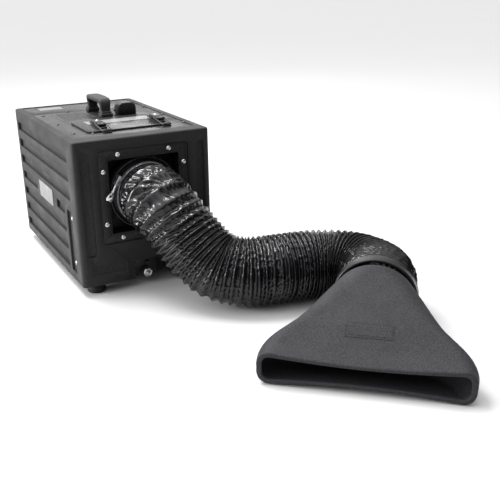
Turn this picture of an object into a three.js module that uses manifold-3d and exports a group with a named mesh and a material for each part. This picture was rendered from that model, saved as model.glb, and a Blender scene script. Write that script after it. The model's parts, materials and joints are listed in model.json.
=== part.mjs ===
// Portable solder fume extractor: a moulded cabinet with filters and a blower inside,
// a corrugated intake hose clamped to its front, and a flat fishtail nozzle on the hose.
// Millimetres, +Z up, front towards -Y. The cabinet is modelled about its own centre on the
// bench, and the whole group is shifted at the end so that its origin is the bottom centre
// of everything but the hose.
import * as THREE from 'three';
import { mergeVertices } from 'three/addons/utils/BufferGeometryUtils.js';
import Module from 'manifold-3d';

const wasm = await Module();
wasm.setup();

// ---------- driving dimensions ----------
const GAP = 0.3;                       // clearance between touching pieces
const CABINET = { width: 270, depth: 422, height: 278 };
const FOOT = { height: 18.5, radius: 18, inset: [33, 29] };
const WALL = 10;
const CORNER = 9;                      // vertical edge radius of the moulding
const FRONT = -CABINET.depth / 2;
const BACK = CABINET.depth / 2;
const SIDE = CABINET.width / 2;
const BASE = FOOT.height;
const TOP = BASE + CABINET.height;

const RIM = { side: 15, front: 34, back: 11, ledge: 8 };   // moulded rim round the top panels
const PANEL = { sink: 1, thick: 3, seam: 108 };
const DECK = TOP - PANEL.sink;                             // height of the top panels' face

const RIBS = { count: 7, pitch: 36, height: 18, depth: 5, first: 244, front: -175, back: 190 };
const SLOT = { front: -176, back: -145, low: 18, high: 141, depth: 6 };

const INTAKE = { z: 186.8, plate: 176.4, opening: 139, thick: 2.4, sink: 1.2, pocket: 38 };
const DUCT = { spigot: 55, hose: 65, wall: 2, rim: 68.5, rimEnd: -207, shoulder: -200, spigotEnd: -238 };
const SLEEVE = { inner: 55.4, outer: 59, from: -200.4, to: -225, full: -236 };   // clamped end of the hose

const HATCH = { x: [-79, 91], y: [-142, -16], thick: 3, corner: 13, lift: 0.4 };
const HATCH_OPENING = { x: [-70, 82], y: [-132, -26] };
const HATCH_TOP = DECK + HATCH.lift + HATCH.thick;
const LATCH_X = { left: -46, right: 74 };
const LATCH = {
  pivot: [-116, HATCH_TOP + 5.4], link: [-106, HATCH_TOP + 7.4], bar: [-151.4, HATCH_TOP + 1.2],
};

const HANDLE = { x: 4, front: -6, back: 98, height: 37, foot: [26, 18, 12], grip: 24 };
const SWITCH = { x: 48, y: [-6, 20], height: 29, width: 40, pivot: [15, DECK + 11] };
const NOTCH = { x: [-32, 40], height: 37, depth: 30, wall: 5, lip: { x: [-43, 41], height: 46, depth: 2.5 } };

// The nozzle's mouth lies on the bench, and its axis runs from the mouth back to its neck.
const NOZZLE = {
  mouth: [106.3, -749.6], heading: -42.3, width: 315, height: 54.7,
  neck: 167, neckRadius: 68.4, neckHeight: 70.4, spigotEnd: 215, wall: 4, lip: 8,
};
const CUFF = { from: 184, to: 208, radius: 70 };

// Centreline of the free hose, from the cabinet's collar to the nozzle's cuff.
const HOSE_ROUTE = [
  [0, -200.4, 186.8], [0, -212, 186.8], [0, -225, 186.8], [1.5, -244, 184], [5, -262, 177.5],
  [11, -278, 167], [19, -291, 153], [35, -312, 124], [52, -335, 97], [73, -361, 75],
  [105, -386, 66.5], [145, -402, 66], [190, -410, 66], [235, -420, 66], [272, -440, 66],
  [296, -474, 66], [302, -513, 67], [293, -546, 69], [273, -570, 70.3], [251.5, -590, 70.4],
  [231.4, -612, 70.4],
];

// ---------- materials ----------
const finish = (color, roughness, metalness = 0) =>
  new THREE.MeshStandardMaterial({ color, roughness, metalness });
const MAT = {
  moulding: finish(0x1b1b1c, 0.6), panel: finish(0x3a3a3b, 0.35, 0.2), plate: finish(0x141415, 0.5),
  dark: finish(0x0c0c0c, 0.7), rubber: finish(0x0a0a0a, 0.8), chrome: finish(0xd0d0d2, 0.2, 1),
  film: finish(0x101012, 0.25), nozzle: finish(0x38383b, 0.75), label: finish(0x9a9a98, 0.5),
  steel: finish(0x8c8c8e, 0.4, 0.8), filter: finish(0xe8e6df, 0.9), carbon: finish(0x202020, 0.95),
  board: finish(0x1f5a38, 0.6),
};

// ---------- solids ----------
function signedVolume(positions, triangles) {
  const [a, b, c] = [new THREE.Vector3(), new THREE.Vector3(), new THREE.Vector3()];
  let sum = 0;
  for (let i = 0; i < triangles.length; i += 3) {
    a.fromArray(positions, 3 * triangles[i]);
    b.fromArray(positions, 3 * triangles[i + 1]);
    c.fromArray(positions, 3 * triangles[i + 2]);
    sum += a.dot(b.cross(c));
  }
  return sum;
}

/** A closed three.js geometry as a manifold solid, with its faces turned outwards. */
function solid(geometry) {
  const bare = geometry.clone();
  bare.deleteAttribute('normal');
  bare.deleteAttribute('uv');
  const merged = mergeVertices(bare, 1e-4);
  const triVerts = new Uint32Array(merged.index.array);
  const vertProperties = new Float32Array(merged.attributes.position.array);
  if (signedVolume(vertProperties, triVerts) < 0) {
    for (let i = 0; i < triVerts.length; i += 3) {
      [triVerts[i], triVerts[i + 1]] = [triVerts[i + 1], triVerts[i]];
    }
  }
  return new wasm.Manifold(new wasm.Mesh({ numProp: 3, vertProperties, triVerts }));
}

/** A manifold solid as a three.js geometry. */
function geometryOf(manifold) {
  const { vertProperties, triVerts } = manifold.getMesh();
  const geometry = new THREE.BufferGeometry();
  geometry.setAttribute('position', new THREE.BufferAttribute(new Float32Array(vertProperties), 3));
  geometry.setIndex(new THREE.BufferAttribute(new Uint32Array(triVerts), 1));
  geometry.computeVertexNormals();
  return geometry;
}

const object = new THREE.Group();

function addPiece(name, shape, material) {
  const mesh = new THREE.Mesh(geometryOf(shape), material);
  mesh.name = name;
  object.add(mesh);
  return mesh;
}

/** A box from its low and high corners. */
function box([x0, x1], [y0, y1], [z0, z1]) {
  const geometry = new THREE.BoxGeometry(x1 - x0, y1 - y0, z1 - z0);
  return solid(geometry.translate((x0 + x1) / 2, (y0 + y1) / 2, (z0 + z1) / 2));
}

/** A rounded rectangle outline, given by its low and high corners. */
function roundedRect([u0, u1], [v0, v1], r) {
  const s = new THREE.Shape();
  s.absarc(u1 - r, v0 + r, r, -Math.PI / 2, 0);
  s.absarc(u1 - r, v1 - r, r, 0, Math.PI / 2);
  s.absarc(u0 + r, v1 - r, r, Math.PI / 2, Math.PI);
  s.absarc(u0 + r, v0 + r, r, Math.PI, 1.5 * Math.PI);
  s.closePath();
  return s;
}

const extruded = (shape, depth, curveSegments = 2) =>
  new THREE.ExtrudeGeometry(shape, { depth, bevelEnabled: false, curveSegments });

/** Extrusions along each axis: the outline's two axes are the other two, in X, Y, Z order. */
const alongZ = (shape, [z0, z1], segments) =>
  solid(extruded(shape, z1 - z0, segments).translate(0, 0, z0));
const alongY = (shape, [y0, y1], segments) =>
  solid(extruded(shape, y1 - y0, segments).rotateX(Math.PI / 2).translate(0, y1, 0));
const ALONG_X = new THREE.Matrix4().makeBasis(
  new THREE.Vector3(0, 1, 0), new THREE.Vector3(0, 0, 1), new THREE.Vector3(1, 0, 0));
const alongX = (shape, [x0, x1], segments) =>
  solid(extruded(shape, x1 - x0, segments).applyMatrix4(ALONG_X).translate(x0, 0, 0));

const polygon = (points) => new THREE.Shape(points.map(([u, v]) => new THREE.Vector2(u, v)));

/** A turned piece about the Y axis. A profile off the axis closes on itself. */
function turned(profile, segments = 32) {
  const points = profile.map(([r, y]) => new THREE.Vector2(r, y));
  if (profile[0][0] > 0) points.push(points[0].clone());
  return solid(new THREE.LatheGeometry(points, segments));
}

const turnedAboutZ = (profile, [x, y], segments) =>
  turned(profile, segments).rotate([90, 0, 0]).translate([x, y, 0]);

const cylinder = (radius, [y0, y1], [x, z], segments = 16) =>
  turned([[0, y0], [radius, y0], [radius, y1], [0, y1]], segments).translate([x, 0, z]);

const mirrored = (shape) => shape.mirror([1, 0, 0]);
const joined = (...shapes) => shapes.reduce((whole, shape) => whole.add(shape));

// ---------- cabinet moulding ----------
function ribChannels() {
  const cut = [SIDE - RIBS.depth, SIDE + 1];
  const channels = [];
  for (let i = 0; i < RIBS.count; i += 1) {
    const z = BASE + RIBS.first - i * RIBS.pitch;
    const start = i < 3 ? RIBS.front : -131;
    const runs = i === 3 ? [[start, -76], [72, RIBS.back]] : [[start, RIBS.back]];
    for (const run of runs) {
      const outline = roundedRect(run, [z - RIBS.height / 2, z + RIBS.height / 2], 3);
      channels.push(alongX(outline, cut, 1));
    }
  }
  const slot = roundedRect([SLOT.front, SLOT.back], [BASE + SLOT.low, BASE + SLOT.high], 4);
  channels.push(alongX(slot, [SIDE - SLOT.depth, SIDE + 1], 1));
  return joined(...channels);
}

function frontGrooves() {
  const outline = (x0, x1) => roundedRect([x0, x1], [BASE + 60, BASE + 256], 7);
  const run = [FRONT - 1, FRONT + 3];
  const strip = roundedRect([-110.5, -48], [BASE + 24, BASE + 42], 3);
  return joined(
    alongY(outline(-122, -104), run), alongY(outline(104, 122), run),
    alongY(strip, [FRONT - 1, FRONT + 1.2], 1));
}

function backGrooves() {
  const run = [BACK - 3, BACK + 1];
  const outline = (x0, x1) => roundedRect([x0, x1], [BASE + 24, BASE + 250], 7);
  return joined(
    alongY(outline(-122, -104), run), alongY(outline(104, 122), run),
    alongY(roundedRect([-88, 88], [BASE + 110, BASE + 250], 6), [BACK - 2, BACK + 1]));
}

function housing() {
  const bevel = 4;
  const outline = roundedRect(
    [-SIDE + bevel, SIDE - bevel], [FRONT + bevel, BACK - bevel], CORNER - bevel);
  const shell = solid(new THREE.ExtrudeGeometry(outline, {
    depth: CABINET.height - 2 * bevel, curveSegments: 3,
    bevelEnabled: true, bevelThickness: bevel, bevelSize: bevel, bevelSegments: 3,
  }).translate(0, 0, BASE + bevel));
  const inside = SIDE - WALL;
  const cavity = box([-inside, inside], [FRONT + WALL, BACK - WALL], [BASE + 8, DECK - PANEL.thick - 6]);
  const seat = SIDE - RIM.side;
  const panelSeat = box([-seat, seat], [FRONT + RIM.front, BACK - RIM.back],
    [DECK - PANEL.thick - GAP, TOP + 1]);
  const mouth = box([-seat + RIM.ledge, seat - RIM.ledge],
    [FRONT + RIM.front + RIM.ledge, BACK - RIM.back - RIM.ledge], [BASE + 20, TOP]);
  const [notchLeft, notchRight] = NOTCH.x;
  const notchTop = BASE + NOTCH.height;
  const notchShell = box([notchLeft - NOTCH.wall, notchRight + NOTCH.wall],
    [FRONT + WALL - 2, FRONT + NOTCH.depth + NOTCH.wall], [BASE + 2, notchTop + NOTCH.wall]);
  const notch = alongY(roundedRect(NOTCH.x, [BASE - 20, notchTop], 6), [FRONT - 1, FRONT + NOTCH.depth]);
  const notchLip = alongY(roundedRect(NOTCH.lip.x, [BASE - 20, BASE + NOTCH.lip.height], 8),
    [FRONT - 1, FRONT + NOTCH.lip.depth]);
  const plateSeat = INTAKE.plate / 2 + 0.6;
  const intakeSeat = alongY(
    roundedRect([-plateSeat, plateSeat], [INTAKE.z - plateSeat, INTAKE.z + plateSeat], 6),
    [FRONT - 1, FRONT + INTAKE.sink + INTAKE.thick + GAP], 1);
  const hole = INTAKE.opening / 2 + 6.2;
  const intakeHole = box([-hole, hole], [FRONT - 1, FRONT + WALL + 1], [INTAKE.z - hole, INTAKE.z + hole]);
  const inlet = box([72, 101], [BACK - WALL - 1, BACK + 1], [BASE + 36, BASE + 57]);
  return shell.subtract(cavity).add(notchShell)
    .subtract(joined(panelSeat, mouth, notch, notchLip, intakeSeat, intakeHole, inlet))
    .subtract(joined(ribChannels(), mirrored(ribChannels())))
    .subtract(joined(frontGrooves(), backGrooves()));
}

function addCabinet() {
  addPiece('housing', housing(), MAT.moulding);
  for (const [end, sy] of [['front', -1], ['rear', 1]]) {
    for (const [hand, sx] of [['left', -1], ['right', 1]]) {
      const at = [sx * (SIDE - FOOT.inset[0]), sy * (BACK - FOOT.inset[1])];
      const top = FOOT.height - GAP;
      const r = FOOT.radius;
      const profile = [[5, 3], [5, top], [r - 3, top], [r, 4], [r - 2, 0], [11, 0], [9, 3]];
      addPiece(`foot_${end}_${hand}`, turnedAboutZ(profile, at, 20), MAT.rubber);
    }
  }
}

// ---------- top panels ----------
function topPanels() {
  const side = SIDE - RIM.side - 0.6;
  const z = [DECK - PANEL.thick, DECK];
  const front = FRONT + RIM.front + 0.6;
  const back = BACK - RIM.back - 0.6;
  const main = box([-side, side], [front, PANEL.seam - 0.6], z);
  const hatchway = box(HATCH_OPENING.x, HATCH_OPENING.y, [z[0] - 1, z[1] + 1]);
  const grilleSeat = box([GRILLE.x[0] - 0.4, GRILLE.x[1] + 0.4], [GRILLE.y[0] - 0.4, GRILLE.y[1] + 0.4],
    [z[1] - 1.4, z[1] + 1]);
  const grilleHole = box([GRILLE.x[0] + 4, GRILLE.x[1] - 4], [GRILLE.y[0] + 4, GRILLE.y[1] - 4],
    [z[0] - 1, z[1] + 1]);
  addPiece('top_panel', main.subtract(joined(hatchway, grilleSeat, grilleHole)), MAT.panel);
  const rear = box([-side, side], [PANEL.seam + 0.6, back], z);
  const window = box([-92, -38], [158, 190], [z[1] - 1.4, z[1] + 1]);
  addPiece('rear_panel', rear.subtract(window), MAT.panel);
  addPiece('rear_label_plate', box([-91, -39], [159, 189], [z[1] - 1.1, z[1] - 0.4]), MAT.label);
}

const GRILLE = { x: [-84, -14], y: [12, 94] };

function exhaustGrille() {
  const [x0, x1] = GRILLE.x;
  const [y0, y1] = GRILLE.y;
  const sheet = roundedRect([x0, x1], [y0, y1], 2);
  const slots = 9;
  const pitch = (y1 - y0 - 12) / slots;
  for (let i = 0; i < slots; i += 1) {
    const low = y0 + 6 + i * pitch + pitch / 4;
    sheet.holes.push(roundedRect([x0 + 8, x1 - 8], [low, low + pitch / 2], 1));
  }
  addPiece('exhaust_grille', alongZ(sheet, [DECK - 1.1, DECK + 0.2], 1), MAT.steel);
}

// ---------- carry handle: a bow along the cabinet's depth ----------
function carryHandle() {
  const low = DECK + GAP;
  const high = DECK + HANDLE.height;
  const [footWidth, footDepth, footHeight] = HANDLE.foot;
  const x = HANDLE.x;
  const bow = polygon([
    [HANDLE.front + 5, low + 6], [HANDLE.front + 7, high - 3], [HANDLE.front + 10, high],
    [HANDLE.back - 8, high], [HANDLE.back - 4, high - 3], [HANDLE.back - 3, low + 6],
    [HANDLE.back - 13, low + 6], [HANDLE.back - 14, high - 14], [HANDLE.back - 22, high - 9],
    [HANDLE.front + 26, high - 9], [HANDLE.front + 18, high - 14], [HANDLE.front + 16, low + 6],
  ]);
  const band = alongX(bow, [x - HANDLE.grip / 2, x + HANDLE.grip / 2]);
  const foot = (y) => alongZ(
    roundedRect([x - footWidth / 2, x + footWidth / 2], [y, y + footDepth], 3), [low, low + footHeight], 1);
  addPiece('carry_handle', joined(band, foot(HANDLE.front), foot(HANDLE.back - footDepth)), MAT.moulding);
}

// ---------- switch under its hinged cover ----------
function addSwitch() {
  const [y0, y1] = SWITCH.y;
  const middle = (y0 + y1) / 2 - 1;
  const [pivotY, pivotZ] = SWITCH.pivot;
  const x = SWITCH.x;
  const half = SWITCH.width / 2;
  const across = (d) => [x - d, x + d];
  const flange = alongZ(roundedRect(across(half + 3), [y0 - 2, y1 + 1], 3), [DECK + GAP, DECK + 2.3], 1);
  const bezel = box(across(13.5), [middle - 9, middle + 6], [DECK + 2, DECK + 8.3]);
  const pocket = box(across(11.6), [middle - 8, middle + 5.2], [DECK + 3.4, DECK + 9]);
  const ear = (at) => box([at - 1, at + 1], [pivotY - 3, pivotY + 3], [DECK + 2, DECK + 14]);
  const ears = joined(ear(x - half + 3.6), ear(x + half - 3.6));
  addPiece('switch_base', joined(flange, bezel, ears).subtract(pocket), MAT.dark);

  const rockerOutline = polygon([[-6, -2], [6, -2], [6, 4.6], [0, 3], [-6, 4.6]]);
  addPiece('rocker_switch', alongX(rockerOutline, [-11, 11]).rotate([-10, 0, 0])
    .translate([x, middle - 1.4, DECK + 7]), MAT.rubber);

  const cap = roundedRect(across(half), [DECK + 2.9, DECK + SWITCH.height], 7);
  const hollow = roundedRect(across(half - 2), [DECK - 8, DECK + SWITCH.height - 2], 5);
  const outside = alongY(cap, [y0 + 1, y1 - 1], 3);
  const squareFoot = box(across(half), [y0 + 1, y1 - 1], [DECK + 2.9, DECK + 12]);
  const inside = alongY(hollow, [y0 + 3, y1 - 3], 3);
  const rearCut = box(across(half - 2), [y1 - 4, y1 + 1], [DECK, DECK + 15]);
  const heelCut = box(across(half + 1), [pivotY, y1 + 1], [DECK, pivotZ - 5]);
  const pin = new THREE.Shape().absarc(pivotY, pivotZ, 1.8, 0, 2 * Math.PI);
  const stub = (at) => alongX(pin, [at, at + 2.6], 4);
  const cover = joined(outside, squareFoot).subtract(joined(inside, rearCut, heelCut))
    .add(joined(stub(x - half - 2), stub(x + half - 0.6)));
  addPiece('switch_cover', cover, MAT.dark);
}

// ---------- filter hatch and its two draw latches ----------
function addHatch() {
  const plate = alongZ(roundedRect(HATCH.x, HATCH.y, HATCH.corner), [DECK + HATCH.lift, HATCH_TOP], 3);
  addPiece('filter_hatch', plate, MAT.panel);
  const [x0, x1] = HATCH_OPENING.x;
  const [y0, y1] = HATCH_OPENING.y;
  const seal = roundedRect([x0 + 1.5, x1 - 1.5], [y0 + 1.5, y1 - 2.5], 5);
  seal.holes.push(roundedRect([x0 + 7, x1 - 7], [y0 + 7, y1 - 8], 3));
  addPiece('hatch_gasket', alongZ(seal, [DECK - 2.4, DECK + HATCH.lift - GAP], 1), MAT.rubber);
}

function latchLever(x) {
  const [py, pz] = LATCH.pivot;
  const floor = HATCH_TOP + 2.9;
  const side = new THREE.Shape();
  side.absarc(py, pz, 2.4, Math.PI / 2, 1.5 * Math.PI);
  side.lineTo(py + 40, floor);
  side.quadraticCurveTo(py + 32, floor + 5, py + 22, floor + 7.4);
  side.quadraticCurveTo(py + 10, floor + 8, py, pz + 2.4);
  const body = alongX(side, [x - 5.5, x + 5.5], 4);
  const tab = turnedAboutZ([[0, 0], [7.5, 0], [7.5, 2], [6.5, 2.6], [0, 2.6]], [x, py + 46], 14);
  return body.add(tab.translate([0, 0, floor]));
}

function latchBail(x) {
  const [ly, lz] = LATCH.link;
  const [by, bz] = LATCH.bar;
  const reach = 9.7;
  const wire = new THREE.Shape().absarc(0, 0, 1.2, 0, 2 * Math.PI);
  const rod = (from, to) => solid(new THREE.ExtrudeGeometry(wire, {
    steps: 1, bevelEnabled: false, curveSegments: 3,
    extrudePath: new THREE.LineCurve3(new THREE.Vector3(...from), new THREE.Vector3(...to)),
  }));
  const arm = (s) => joined(
    rod([x + s * reach, ly + 0.9, lz + 0.12], [x + s * reach, by - 0.9, bz - 0.12]),
    rod([x + s * 5.9, ly, lz], [x + s * (reach + 0.9), ly, lz]));
  return joined(arm(-1), arm(1), rod([x - reach - 0.9, by, bz], [x + reach + 0.9, by, bz]));
}

function addLatch(hand) {
  const x = LATCH_X[hand];
  const [py, pz] = LATCH.pivot;
  const foot = box([x - 8, x + 8], [-128, -82], [HATCH_TOP + GAP, HATCH_TOP + 2.3]);
  const ear = (at) => box([at - 1, at + 1], [py - 5, py + 5], [HATCH_TOP + 2, pz + 3.4]);
  addPiece(`latch_base_${hand}`, joined(foot, ear(x - 7), ear(x + 7)), MAT.dark);
  addPiece(`latch_lever_${hand}`, latchLever(x), MAT.dark);
  addPiece(`latch_bail_${hand}`, latchBail(x), MAT.steel);
  const barY = LATCH.bar[0];
  const keeper = box([x - 8, x + 8], [barY - 4, barY + 8], [DECK + GAP, DECK + 2.4])
    .add(box([x - 7, x + 7], [barY + 1.9, barY + 5], [DECK + 2, HATCH_TOP + 3]));
  addPiece(`latch_keeper_${hand}`, keeper, MAT.dark);
}

// ---------- air intake on the front ----------
function addIntake() {
  const half = INTAKE.plate / 2;
  const open = INTAKE.opening / 2;
  const face = FRONT + INTAKE.sink;
  const z = (d) => [INTAKE.z - d, INTAKE.z + d];
  const plate = roundedRect([-half, half], z(half), 5);
  plate.holes.push(roundedRect([-open, open], z(open), 2));
  addPiece('intake_plate', alongY(plate, [face, face + INTAKE.thick], 1), MAT.plate);

  const pocketFloor = FRONT + INTAKE.pocket;
  const outer = open + 5.6;
  const inner = open + 1.6;
  const back = face + INTAKE.thick + GAP;
  const pocket = box([-outer, outer], [back, pocketFloor + 4], z(outer))
    .subtract(box([-inner, inner], [back - 1, pocketFloor], z(inner)))
    .subtract(cylinder(DUCT.spigot - 4, [pocketFloor - 1, pocketFloor + 5], [0, INTAKE.z], 24));
  addPiece('intake_pocket', pocket, MAT.dark);

  const bore = DUCT.spigot - 4;
  const collar = turned([
    [bore, pocketFloor - GAP], [DUCT.rim, pocketFloor - GAP], [DUCT.rim, DUCT.rimEnd],
    [DUCT.rim - 2.5, DUCT.rimEnd], [DUCT.rim - 2.5, DUCT.shoulder], [DUCT.spigot, DUCT.shoulder],
    [DUCT.spigot, DUCT.spigotEnd], [bore, DUCT.spigotEnd],
  ], 32);
  addPiece('intake_collar', collar.translate([0, 0, INTAKE.z]), MAT.dark);

  const away = 79.5;
  const along = 50;
  const places = [[-along, away], [along, away], [along, -away], [-along, -away],
    [-away, along], [away, along], [away, -along], [-away, -along]];
  places.forEach(([x, dz], i) => addPiece(`intake_screw_${i + 1}`, panHead(4.6)
    .translate([x, face - GAP, INTAKE.z + dz]), MAT.chrome));
}

/** A pan head standing out towards -Y from the origin. */
const panHead = (r) => turned([[0, 0], [r, 0], [r, -0.9], [0.75 * r, -2.3], [0, -2.8]], 12);

function addSideFittings() {
  for (const [hand, side] of [['left', -1], ['right', 1]]) {
    const floor = side * (SIDE - SLOT.depth);
    const x = (a, b) => [floor + side * a, floor + side * b].sort((p, q) => p - q);
    const strip = box(
      x(GAP, 2.5), [SLOT.front + 2, SLOT.back - 2], [BASE + SLOT.low + 2, BASE + SLOT.high - 2]);
    addPiece(`side_strip_${hand}`, strip, MAT.plate);
    [['upper', 128], ['lower', 40]].forEach(([level, height]) => {
      const screw = panHead(4.6).rotate([0, 0, side * 90])
        .translate([floor + side * (2.5 + GAP), -169, BASE + height]);
      addPiece(`side_screw_${hand}_${level}`, screw, MAT.chrome);
    });
  }
  const label = box([-SIDE - 1.1, -SIDE - GAP], [-51, 48], [BASE + 121, BASE + 155]);
  addPiece('side_label_plate', label, MAT.label);
}

// ---------- socket in the notch under the intake ----------
function addSocket() {
  const [x, z] = [-4, 25];
  const wallY = FRONT + NOTCH.depth - GAP;
  const face = wallY - 10;
  const block = box([NOTCH.x[0] + 1, x + 24], [face, wallY], [BASE + 0.5, BASE + NOTCH.height - 5]);
  const tongue = box([x + 1, x + 8], [face - 6, face + 1], [z + 11, z + 20]);
  addPiece('socket_block', block.add(tongue), MAT.dark);
  const mouth = face - 16;
  const ring = turned([[5, face - 2], [5, mouth], [7.5, mouth], [9, mouth + 1.5], [9, face - 3],
    [7.6, face - 3], [7.6, face - GAP], [0, face - GAP], [0, face - 2]], 16);
  addPiece('socket_ring', ring.translate([x, 0, z]), MAT.chrome);
}

// ---------- hose clamp ----------
const CLAMP = { y: [-224, -213], inner: 59.3, outer: 60.6, angle: 149, housing: [19, 8.5, 11] };

function addClamp() {
  const [y0, y1] = CLAMP.y;
  const middle = (y0 + y1) / 2;
  const [length, height, width] = CLAMP.housing;
  const band = turned([[CLAMP.inner, y0], [CLAMP.outer, y0], [CLAMP.outer, y1], [CLAMP.inner, y1]], 32);
  const radial = CLAMP.outer - 0.4;
  const housing = box(
    [radial, radial + height], [middle - width / 2, middle + width / 2], [-length / 2, length / 2]);
  const place = (shape) => shape.rotate([0, -CLAMP.angle, 0]).translate([0, 0, INTAKE.z]);
  addPiece('clamp_band', place(band.add(housing)), MAT.steel);

  const axis = radial + height / 2;
  const start = length / 2 + GAP;
  const shank = turnedAboutZ([[0, 0], [2.6, 0], [2.6, 14], [0, 14]], [0, 0], 12);
  const wing = polygon([[-3, 13], [3, 13], [6.6, 28], [5, 32], [0, 31], [-5, 32], [-6.6, 28]]);
  wing.holes.push(new THREE.Path().absarc(0, 22.5, 2.4, 0, 2 * Math.PI, true));
  const key = alongY(wing, [-1.1, 1.1], 4);
  addPiece('clamp_screw', place(shank.add(key).translate([axis, middle, start])), MAT.chrome);
}

// ---------- free hose ----------
function addHose() {
  const points = HOSE_ROUTE.map((p) => new THREE.Vector3(...p));
  const ring = new THREE.Shape().absarc(0, 0, DUCT.hose, 0, 2 * Math.PI);
  ring.holes.push(new THREE.Path().absarc(0, 0, DUCT.hose - DUCT.wall, 0, 2 * Math.PI, true));
  const tube = new THREE.ExtrudeGeometry(ring, {
    steps: 24, curveSegments: 6, bevelEnabled: false,
    extrudePath: new THREE.CatmullRomCurve3(points, false, 'centripetal'),
  });
  const overlap = SLEEVE.full - 3;
  const sleeve = turned([
    [SLEEVE.inner, SLEEVE.from], [SLEEVE.outer, SLEEVE.from], [SLEEVE.outer, SLEEVE.to],
    [DUCT.hose, SLEEVE.full], [DUCT.hose, overlap], [DUCT.hose - DUCT.wall, overlap],
    [DUCT.hose - DUCT.wall, SLEEVE.full], [SLEEVE.inner, SLEEVE.to],
  ], 32).translate([0, 0, INTAKE.z]);
  const swept = solid(tube).subtract(box([-80, 80], [SLEEVE.full, -190], [100, 270]));
  return addPiece('duct_hose', swept.add(sleeve), MAT.film);
}

// ---------- nozzle ----------
// Each station: distance behind the mouth, half width, height of the top and bottom, squareness.
const NOZZLE_STATIONS = [
  [0, 157.5, 54.7, 0, 9], [21, 160, 61, 0, 6], [35, 157, 67.5, 0, 4.6], [48, 149, 74, 0, 3.8],
  [62, 136, 81.5, 0, 3.3], [80, 120, 91.5, 0.3, 3], [105, 104, 105, 0.8, 2.7], [132, 89, 119.5, 1.4, 2.4],
  [154, 76, 131.5, 1.8, 2.1], [NOZZLE.neck, NOZZLE.neckRadius, 138.8, 2, 2],
];
const NOZZLE_POINTS = 36;

/** A squared ellipse across the nozzle at a distance behind its mouth, pinched in the middle. */
function nozzleSection(behind, halfWidth, top, bottom, power, inset = 0) {
  const half = (top - bottom) / 2 - inset;
  const wide = halfWidth - inset;
  const pinch = 0.34 * Math.max(0, 1 - behind / 60);
  const section = [];
  for (let i = 0; i < NOZZLE_POINTS; i += 1) {
    const turn = (2 * Math.PI * (i + 0.5)) / NOZZLE_POINTS;
    const bow = (v) => Math.sign(v) * Math.abs(v) ** (2 / power);
    const u = wide * bow(Math.cos(turn));
    const v = half * bow(Math.sin(turn)) * (1 - pinch * Math.cos((Math.PI * u) / (2 * wide)));
    section.push([u, behind, (top + bottom) / 2 + v]);
  }
  return section;
}

/** A closed skin through sections of equal length, the last one joined to the first. */
function loftedRing(sections) {
  const n = sections[0].length;
  const index = [];
  sections.forEach((_, s) => {
    const next = (s + 1) % sections.length;
    for (let i = 0; i < n; i += 1) {
      const [a, b] = [s * n + i, s * n + ((i + 1) % n)];
      const [c, d] = [next * n + i, next * n + ((i + 1) % n)];
      index.push(a, b, d, a, d, c);
    }
  });
  const geometry = new THREE.BufferGeometry();
  geometry.setAttribute('position', new THREE.Float32BufferAttribute(sections.flat(2), 3));
  geometry.setIndex(index);
  return solid(geometry);
}

const onNozzle = (shape) => shape.rotate([0, 0, NOZZLE.heading])
  .translate([NOZZLE.mouth[0], NOZZLE.mouth[1], 0]);

function addNozzle() {
  const { neckHeight } = NOZZLE;
  const round = (behind, r) => nozzleSection(behind, r, neckHeight + r, neckHeight - r, 2);
  const outside = NOZZLE_STATIONS.map((station) => nozzleSection(...station));
  const bore = DUCT.spigot - NOZZLE.wall;
  const inside = NOZZLE_STATIONS.filter((_, i) => i % 2).slice(0, -1)
    .map((station) => nozzleSection(...station, NOZZLE.wall + 1));
  const mouth = nozzleSection(...NOZZLE_STATIONS[0], NOZZLE.lip);
  const sections = [
    ...outside, round(NOZZLE.neck, DUCT.spigot), round(NOZZLE.spigotEnd, DUCT.spigot),
    round(NOZZLE.spigotEnd, bore), round(NOZZLE.neck, bore), ...inside.reverse(), mouth,
  ];
  addPiece('nozzle', onNozzle(loftedRing(sections)), MAT.nozzle);
  const cuff = turned([
    [DUCT.hose + 0.6, CUFF.from], [CUFF.radius - 1.5, CUFF.from], [CUFF.radius, CUFF.from + 2],
    [CUFF.radius, CUFF.to - 3], [CUFF.radius - 2, CUFF.to], [DUCT.hose + 0.6, CUFF.to],
  ], 32).translate([0, 0, NOZZLE.neckHeight]);
  addPiece('nozzle_cuff', onNozzle(cuff), MAT.rubber);
}

// ---------- filters, blower and electrics inside ----------
const BAY = { x: [-68, 80], z: [BASE + 40, DECK - 14] };
const FILTERS = [
  ['prefilter', [-129, -117], MAT.filter], ['hepa_filter', [-112, -68], MAT.filter],
  ['carbon_filter', [-63, -31], MAT.carbon],
];
const BLOWER = { x: -10, z: BASE + 122, radius: 92, y: [-2, 74], impeller: 72 };

function addFilters() {
  const [z0, z1] = BAY.z;
  const frame = box([BAY.x[0] - 4, BAY.x[1] + 4], [-134, -26], [z0 - 8, z1 - 30]);
  const slots = FILTERS.map(([, [a, b]]) =>
    box([BAY.x[0] - 0.5, BAY.x[1] + 0.5], [a - 0.5, b + 0.5], [z0 - 0.5, z1]));
  const airway = box([BAY.x[0] + 8, BAY.x[1] - 8], [-140, -20], [z0 + 8, z1 - 24]);
  addPiece('filter_rack', frame.subtract(joined(...slots, airway)), MAT.steel);
  for (const [name, y, material] of FILTERS) {
    const pull = box([-8, 20], [(y[0] + y[1]) / 2 - 2, (y[0] + y[1]) / 2 + 2], [z1 - 1, z1 + 8]);
    addPiece(name, box(BAY.x, y, [z0, z1]).add(pull), material);
  }
  const reach = SIDE - WALL - GAP;
  const bulkhead = box([-reach, reach], [-15, -11], [BASE + 8 + GAP, DECK - PANEL.thick - 6 - GAP])
    .subtract(cylinder(52, [-16, -10], [BLOWER.x, BLOWER.z], 24));
  addPiece('fan_bulkhead', bulkhead, MAT.steel);
}

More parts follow.
